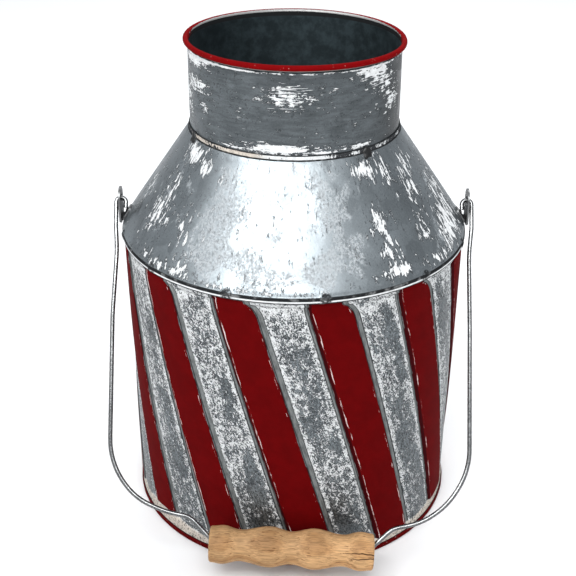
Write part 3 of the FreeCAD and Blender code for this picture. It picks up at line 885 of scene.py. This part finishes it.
CONE_MARKS_RADIUS = 85.0        # about half way up the cone
SHOULDER_PATCHES = (
    # turn, height, half turn, half height, strength
    (-58, 245.5, 8, 5, 0.26),
    (-46, 242, 4.5, 5, 0.21),
    (-34, 238, 3, 6, 0.12),
    (-61.5, 223.5, 7, 14, 0.15),
    (-60, 209, 8, 8, 0.13),
    (-43.5, 213, 4.5, 9, 0.15),
    (-38, 199, 4, 6, 0.12),
    (-80, 215, 5, 20, 0.1),
    (-46, 191.5, 14, 3.5, 0.17),
    (-22, 190, 12, 1.4, 0.14),
    (30.5, 244.5, 4.5, 5, 0.2),
    (37, 243, 4, 5.5, 0.2),
    (46.5, 240, 3.5, 9, 0.2),
    (58, 228, 6, 12, 0.18),
    (64, 239, 6, 6, 0.13),
    (33.5, 217, 3.6, 10, 0.2),
    (36, 201, 4.5, 8, 0.15),
    (35, 193.5, 7, 3, 0.16),
    (53, 207, 4, 6, 0.16),
    (69, 201, 8, 10, 0.21),
    (56, 192.5, 9, 3, 0.17),
    (80, 215, 9, 20, 0.17),
    (0, 190, 14, 1.4, 0.12),
    (150, 222, 14, 16, 0.16),
    (120, 200, 10, 12, 0.15),
    (-120, 196, 14, 8, 0.17),
    (-150, 230, 12, 14, 0.15),
)
FILM_PATCHES = (
    # thin chalky bloom, placed as above
    (-30, 212, 8, 22, 0.22),
    (-29, 238, 5, 9, 0.17),
    (-16, 203, 7, 6, 0.27),
    (-3, 196, 9, 5, 0.28),
    (-6, 218, 4, 4, 0.16),
    (10, 200, 5, 8, 0.28),
    (15, 226, 4.5, 18, 0.25),
    (23, 206, 5, 12, 0.16),
)
FLANGE_PATCHES = (
    # paint left on the flange, placed as above
    (-26, 252.5, 26, 4, 0.62),
    (8, 252.5, 16, 4, 0.5),
    (-62, 252.5, 10, 4, 0.4),
    (33, 252.5, 4, 4, 0.35),
    (52, 252.5, 7, 4, 0.42),
    (72, 252.5, 5, 4, 0.35),
    (170, 252.5, 30, 4, 0.4),
)


def shoulder_material():
    nodes = Nodes("shoulder_zinc")
    place = on_round(nodes, CONE_MARKS_RADIUS)
    level = nodes.attribute("level")
    outside = nodes.outside()
    nodes.surface = zinc(nodes, place, 1.06)
    # inside of the can: stained zinc darkened with painted shade
    shaded_inside(nodes, place)
    long_marks = nodes.streaks(place, 1, 3.4, 1.7, 4, 0.65)
    mottle = nodes.streaks(place, 1, 1.6, 3, 6, 0.7, 0.5)
    cover = nodes.linear(long_marks, 0.7, nodes.linear(mottle, 0.55, -0.125))
    cover = nodes.plus(cover, nodes.patches(SHOULDER_PATCHES))
    film = nodes.streaks(place, 1, 1.3, 1.4, 5, 0.75)
    film_place = nodes.plus(nodes.noise(place, 16, 4, 0.6, 0.6), nodes.patches(FILM_PATCHES))
    film = nodes.times(nodes.step(film, 0.43, 0.55), nodes.step(film_place, 0.56, 0.7))
    open_cone = nodes.times(outside, nodes.between(level, SEAM_HEIGHT + 0.3, CONE_TOP_HEIGHT, 0.5))
    nodes.lay(dull_bloom(nodes, place), film, open_cone)
    lay_whitewash(nodes, place, cover, SHOULDER_BARE, 1.35, 0.04, open_cone)

    flange = nodes.times(nodes.step(level, CONE_TOP_HEIGHT - 0.2, CONE_TOP_HEIGHT + 0.2), outside)
    flakes = nodes.linear(nodes.noise(place, 1.9, 5, 0.75), 1.8, -0.4)
    flakes = nodes.plus(nodes.patches(FLANGE_PATCHES), flakes)
    nodes.lay(DARK_METAL, flange)
    yellowed = nodes.step(nodes.xyz(nodes.place)[0], -12, -24)
    flange_paint = nodes.over(whitewash(nodes, place, 1.3), cream(nodes, place), yellowed)
    nodes.lay(flange_paint, nodes.step(flakes, 0.82, 0.88), flange)
    skirt = nodes.step(level, SEAM_HEIGHT + 0.2, SEAM_HEIGHT - 0.2)
    nodes.lay(whitewash(nodes, place, 1.35), skirt, outside)

    broken = nodes.step(nodes.noise(place, 5, 3), 0.32, 0.5, 0.8, 1)
    # Dark lines at the skirt's fold, under its lip, at the flange joint and top edge, and dark crimp
    # lumps: painted shade with some dirt
    fold = nodes.between(level, SKIRT_BOTTOM + 1.75, SEAM_HEIGHT + 0.25, 0.4)
    lip = nodes.step(level, SKIRT_BOTTOM + 0.95, SKIRT_BOTTOM + 0.65)
    joint = nodes.between(level, CONE_TOP_HEIGHT - 0.3, CONE_TOP_HEIGHT + 0.5, 0.3)
    top = nodes.step(level, FLANGE_TOP - 0.5, FLANGE_TOP - 0.3)
    shade_and_dirt = nodes.either(nodes.either(fold, lip), nodes.either(joint, top))
    lump = nodes.step(nodes.attribute("lift"), 0.15 * CRIMP_LIFT, 0.35 * CRIMP_LIFT)
    lump = nodes.times(lump, nodes.step(nodes.noise(place, 1.1, 3), 0.36, 0.56, 0.3, 0.95))
    shade_and_dirt = nodes.either(nodes.times(shade_and_dirt, broken), lump)
    nodes.lay(CREASE_SHADE_AND_DIRT, shade_and_dirt, outside)
    return nodes.finish(0.1)


RIM_CREASE = 300.7              # height of the crease under the rolled rim
NECK_PATCHES = (
    # turn, height, half turn, half height, strength
    (-5.5, 285.5, 15, 4.6, 0.19),
    (-2, 291.5, 14, 3, 0.06),
    (-66, 297.5, 14, 3.6, 0.3),
    (-44, 300, 16, 1.2, 0.25),
    (-62, 284, 10, 4.5, 0.23),
    (-54, 273, 3.5, 3, 0.18),
    (-76, 274, 8, 14, 0.18),
    (45, 297, 13, 5, 0.27),
    (52, 288, 9, 5, 0.16),
    (62, 277, 8, 8, 0.21),
    (22, 290, 3, 3, 0.12),
    (-8, 257.2, 20, 2.8, 0.3),
    (-34, 255.3, 12, 1, 0.18),
    (37, 256.2, 9, 1.6, 0.24),
    (18, 255, 12, 0.8, 0.18),
    (150, 280, 16, 10, 0.17),
    (-140, 272, 18, 8, 0.18),
    (110, 262, 14, 6, 0.16),
    (-170, 296, 16, 4, 0.18),
)
STROKE_PATCHES = (
    # fine brush lines, placed as above
    (-1, 291.5, 14, 3.4, 0.19),
    (-8, 280.5, 14, 1.6, 0.15),
    (50, 291, 14, 5, 0.15),
    (160, 286, 20, 8, 0.15),
)


def neck_material():
    nodes = Nodes("neck_zinc")
    place = on_round(nodes, NECK_RADIUS)
    x, y, _ = nodes.xyz(nodes.place)
    level = nodes.attribute("level")
    away = nodes.from_axis()
    outside = nodes.outside()
    nodes.surface = zinc(nodes, place, 0.66)
    brushed = nodes.streaks(place, 3, 0.5, 4, 4, 0.65)
    # painted light and shade: the outside made lighter on the left and much darker on the right
    side_light_and_shade = nodes.times(nodes.step(x, -52, -20, 1.17, 1), nodes.step(x, 38, 60, 1, 0.36))
    nodes.tint(nodes.times(nodes.step(brushed, 0.3, 0.7, 0.8, 1.2), side_light_and_shade))
    # inside of the can: stained zinc darkened with painted shade
    shaded_inside(nodes, place)
    lines = nodes.streaks(place, 4, 0.45, 1.6, 4, 0.65)
    mottle = nodes.streaks(place, 1.3, 1, 2.8, 6, 0.7, 0.4)
    cover = nodes.linear(lines, 0.62, nodes.linear(mottle, 0.68, -0.15))
    cover = nodes.plus(cover, nodes.patches(NECK_PATCHES))
    under_rim = nodes.between(level, RIM_CREASE - 1.4, RIM_CREASE - 0.4, 0.4)
    cover = nodes.plus(cover, nodes.times(under_rim, 0.14))
    strokes = nodes.streaks(place, 8, 0.42, 1.5, 3, 0.6)
    stroke = nodes.plus(strokes, nodes.patches(STROKE_PATCHES))
    cover = nodes.either(cover, nodes.step(stroke, 0.7, 0.76))
    open_wall = nodes.times(outside, nodes.step(level, RIM_CREASE + 0.2, RIM_CREASE - 0.1))
    lay_whitewash(nodes, place, cover, NECK_BARE, 1.4, 0.05, open_wall)
    # a broken dark line in the crease under the rolled rim: painted shade with some dirt
    wobble = nodes.linear(nodes.noise(place, 9, 2), 0.8, -0.4)
    line = nodes.math("ABSOLUTE", nodes.minus(nodes.plus(level, wobble), RIM_CREASE))
    broken = nodes.step(nodes.noise(place, 5, 3), 0.4, 0.55, 0.3, 1)
    nodes.lay(CREASE_SHADE_AND_DIRT, nodes.step(line, 0.45, 0.2), outside, broken)

    under_roll = nodes.between(level, RIM_CREASE + 0.5, RIM_CREASE + 1.7, 0.3)
    nodes.lay(DUSTY_METAL, under_roll, outside, 0.8)
    ragged = nodes.linear(nodes.noise(place, 2.6, 4, 0.65), 0.9, away)
    bare_from = nodes.step(y, -25, 58, NECK_RADIUS - 0.5, NECK_RADIUS + 0.6)
    outer_side = nodes.step(nodes.minus(ragged, bare_from), 0, 0.2)
    rim = nodes.times(outer_side, nodes.step(level, RIM_CREASE + 0.6, RIM_CREASE + 0.9))
    bare_side = nodes.step(level, RIM_CREASE + 1.6, RIM_CREASE + 1.9)
    nodes.lay(BARE_RIM, bare_side, nodes.minus(1, rim))
    # a dark line inside the rim's top edge: painted shade
    inner_line = nodes.between(level, RIM_CREASE + 0.2, RIM_CREASE + 2.8, 0.3)
    nodes.lay(CREASE_SHADE_AND_DIRT, inner_line, nodes.step(away, NECK_RADIUS, NECK_RADIUS - 0.2))
    nodes.lay(red_paint(nodes, place, 1.75), rim)
    nodes.lay(CHIPPED_RED, rim, nodes.step(nodes.noise(place, 1.5, 3, 0.6), 0.68, 0.72))
    nodes.lay(CREASE_SHADE_AND_DIRT, nodes.back_seam(0.5), outside)
    return nodes.finish(0.1)


def base_material():
    nodes = Nodes("base_red")
    place = nodes.place
    z = nodes.xyz(place)[2]
    nodes.surface = zinc(nodes, place, 0.9)
    painted = nodes.step(nodes.from_axis(), BODY_RADIUS_BOTTOM - 1.4, BODY_RADIUS_BOTTOM - 0.7)
    painted = nodes.times(painted, nodes.step(z, BEAD_HEIGHT + 1.2, BEAD_HEIGHT + 0.7))
    nodes.lay(red_paint(nodes, place, 0.9), painted)
    nodes.lay(WORN_BEAD, nodes.step(nodes.noise(place, 2.2, 4, 0.65), 0.64, 0.7), painted)
    # a dark line on top of the bead where it meets the body: painted shade with some dirt
    nodes.lay(CREASE_SHADE_AND_DIRT, nodes.step(z, BEAD_HEIGHT - 0.35, BEAD_HEIGHT - 0.15), painted, 0.8)
    return nodes.finish(0.1)


def wire_material(name, tone, rough):
    nodes = Nodes(name)
    drawn = nodes.noise(nodes.place, 1.2, 4, 0.6)
    spots = nodes.noise(nodes.place, 6, 3)
    tint = nodes.shade(rgb(tone, tone * 1.02, tone * 1.03), nodes.step(spots, 0.35, 0.65, 0.8, 1.1))
    scuffed = nodes.step(drawn, 0.3, 0.7, rough - 0.06, rough + 0.1)
    nodes.surface = tint, 1, scuffed, drawn
    return nodes.finish(0.04)


def wood_material():
    nodes = Nodes("bare_pine")
    nodes.shader.inputs["Specular IOR Level"].default_value = 0.12
    from_middle = nodes.vector("SUBTRACT", nodes.place, tuple(GRIP_MIDDLE))
    along, up, front = (
        nodes.vector("DOT_PRODUCT", from_middle, tuple(direction), "Value")
        for direction in (GRIP_ALONG, GRIP_UP, GRIP_FRONT)
    )
    place = nodes.joined(along, up, front)
    drift = nodes.noise(nodes.vector("MULTIPLY", place, (0.1, 1, 1)), 9, 2)
    off_centre = nodes.joined(nodes.times(along, 0.02), nodes.plus(up, 7), nodes.plus(front, 30))
    rings = nodes.times(nodes.vector("LENGTH", off_centre, output="Value"), 1.15)
    rings = nodes.plus(rings, nodes.times(drift, 7))
    ring = nodes.step(nodes.math("SINE", rings), -0.4, 1)
    fibre = nodes.noise(nodes.vector("MULTIPLY", place, (0.06, 1, 1)), 0.7, 4, 0.65)
    pores = nodes.noise(nodes.vector("MULTIPLY", place, (0.12, 1, 1)), 1, 3, 0.55)
    blush = nodes.noise(place, 14, 3)
    wood = nodes.mix(ring, rgb(0.485, 0.287, 0.135), rgb(0.4, 0.218, 0.094))
    wood = nodes.shade(wood, nodes.step(fibre, 0.3, 0.72, 1.2, 0.66))
    wood = nodes.shade(wood, nodes.step(blush, 0.35, 0.65, 0.88, 1.08))
    wood = nodes.shade(wood, nodes.step(along, -40, 45, 0.9, 1.13))
    pore = nodes.step(pores, 0.625, 0.67)
    wood = nodes.mix(nodes.times(pore, 0.75), wood, rgb(0.16, 0.07, 0.027))
    crack = nodes.step(nodes.attribute("crack"), 0.12, 0.45)
    wood = nodes.mix(crack, wood, rgb(0.06, 0.028, 0.012))
    height = nodes.minus(nodes.times(fibre, -0.5), pore)
    nodes.surface = wood, 0, 0.62, height
    return nodes.finish(0.12)


def soften_edges(piece, width):
    """Rounds the sharp edges of a stamped piece a little."""
    bevel = piece.modifiers.new("edges", "BEVEL")
    bevel.width = width * MM
    bevel.segments = 2
    bevel.limit_method = "ANGLE"
    bevel.angle_limit = math.radians(40)


def use_material(piece, material):
    piece.data.materials.clear()
    piece.data.materials.append(material)


# Stage

CAMERA_PLACE = (0, -0.653, 0.480)       # metres
CAMERA_LENS = 71.55                     # millimetres, on a 36 mm wide sensor
CAMERA_SHIFT = -0.0092
CAMERA_DOWN = 27.52                     # degrees below level
CAMERA_TILT = 0.42
BEVEL_WIDTH = 0.2


def make_camera():
    """A camera above and in front of the can, with the photograph's slight sideways tilt."""
    data = bpy.data.cameras.new("camera")
    data.sensor_width = 36.0
    data.lens = CAMERA_LENS
    data.shift_x = CAMERA_SHIFT
    camera = bpy.data.objects.new("camera", data)
    bpy.context.scene.collection.objects.link(camera)
    camera.location = CAMERA_PLACE
    camera.rotation_mode = "ZYX"
    camera.rotation_euler = (math.radians(90 - CAMERA_DOWN), 0, math.radians(CAMERA_TILT))
    bpy.context.scene.camera = camera


def make_floor():
    mesh = bpy.data.meshes.new("floor")
    reach = 6.0
    corners = [(-reach, -reach, 0), (reach, -reach, 0), (reach, reach, 0), (-reach, reach, 0)]
    mesh.from_pydata(corners, [], [(0, 1, 2, 3)])
    floor = bpy.data.objects.new("floor", mesh)
    bpy.context.scene.collection.objects.link(floor)
    nodes = Nodes("pale_floor")
    nodes.shader.inputs["Base Color"].default_value = rgb(0.94, 0.94, 0.94)
    nodes.shader.inputs["Roughness"].default_value = 0.9
    use_material(floor, nodes.material)


def add_light(name, azimuth, elevation, distance, size, power):
    """A soft rectangular light aimed at the can, `azimuth` degrees round from the front."""
    data = bpy.data.lights.new(name, "AREA")
    data.shape, data.size, data.size_y = "RECTANGLE", size[0], size[1]
    data.energy = power
    light = bpy.data.objects.new(name, data)
    bpy.context.scene.collection.objects.link(light)
    around, up = math.radians(azimuth), math.radians(elevation)
    back = Vector((math.sin(around) * math.cos(up), -math.cos(around) * math.cos(up), math.sin(up)))
    aim = Vector((0, 0, 0.17))
    light.location = aim + back * distance
    light.rotation_mode = "QUATERNION"
    light.rotation_quaternion = (-back).to_track_quat("-Z", "Y")
    return light


def make_world():
    world = bpy.data.worlds.new("studio")
    world.use_nodes = True
    background = world.node_tree.nodes["Background"]
    background.inputs["Color"].default_value = (0.93, 0.96, 1.0, 1.0)
    background.inputs["Strength"].default_value = 0.78
    bpy.context.scene.world = world
    bpy.context.scene.view_settings.view_transform = "Standard"


def main():
    make_camera()
    make_floor()
    make_world()
    add_light("key", -14, 50, 1.3, (1.3, 0.5), 13)
    bright_card = add_light("bright_card", -12, 44, 1.3, (1.45, 0.36), 19)
    soft_card = add_light("soft_card", -56, 44, 1.3, (0.9, 0.36), 9)
    for card in (bright_card, soft_card):
        card.visible_diffuse = False
    add_light("fill", 60, 30, 1.6, (0.5, 1.0), 1)
    add_light("back", 170, 55, 1.6, (1.2, 0.6), 11)

    use_material(make_body(), body_material())
    use_material(make_shoulder(), shoulder_material())
    use_material(make_neck(), neck_material())
    use_material(make_base(), base_material())
    use_material(make_grip(), wood_material())
    use_material(make_solder(), wire_material("solder", 0.03, 0.5))
    wire = wire_material("zinc_wire", 0.15, 0.26)
    sheet = wire_material("ear_zinc", 0.15, 0.36)
    rivet = wire_material("rivet_zinc", 0.2, 0.38)
    for name, material in (
        ("bail_wire", wire), ("ear_left", sheet), ("ear_right", sheet),
        ("ear_rivet_left", rivet), ("ear_rivet_right", rivet),
    ):
        use_material(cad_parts[name], material)
    for name in ("ear_left", "ear_right", "ear_rivet_left", "ear_rivet_right"):
        soften_edges(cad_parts[name], BEVEL_WIDTH)


main()
